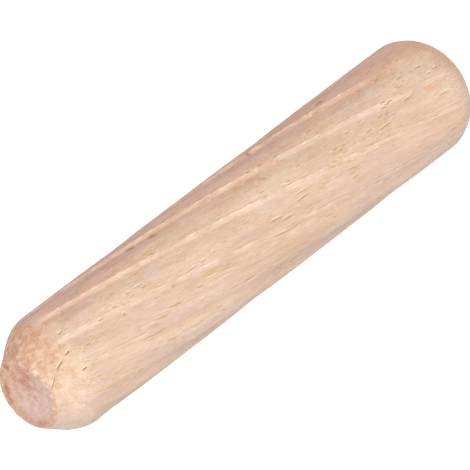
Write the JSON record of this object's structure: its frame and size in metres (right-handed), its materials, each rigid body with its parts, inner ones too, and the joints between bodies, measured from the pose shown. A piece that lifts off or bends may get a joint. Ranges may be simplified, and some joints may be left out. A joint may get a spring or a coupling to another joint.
{
  "type": "dowel pin",
  "caption": "Short round hardwood dowel pin with shallow right-hand helical flutes along the shank and a tapered lead-in at each end, for glued joints.",
  "frame": {"origin": "centre of the lower end face, where the pin stands", "axes": "+Z along the pin's axis, from the rounder lower end to the sharper tapered upper end; X and Y are square to it, and the flutes set no front"},
  "size_m": [0.008, 0.008, 0.04],
  "materials": {
    "hardwood": "matte"
  },
  "bodies": {
    "root": {"dowel_pin": "hardwood"}
  },
  "joints": []
}
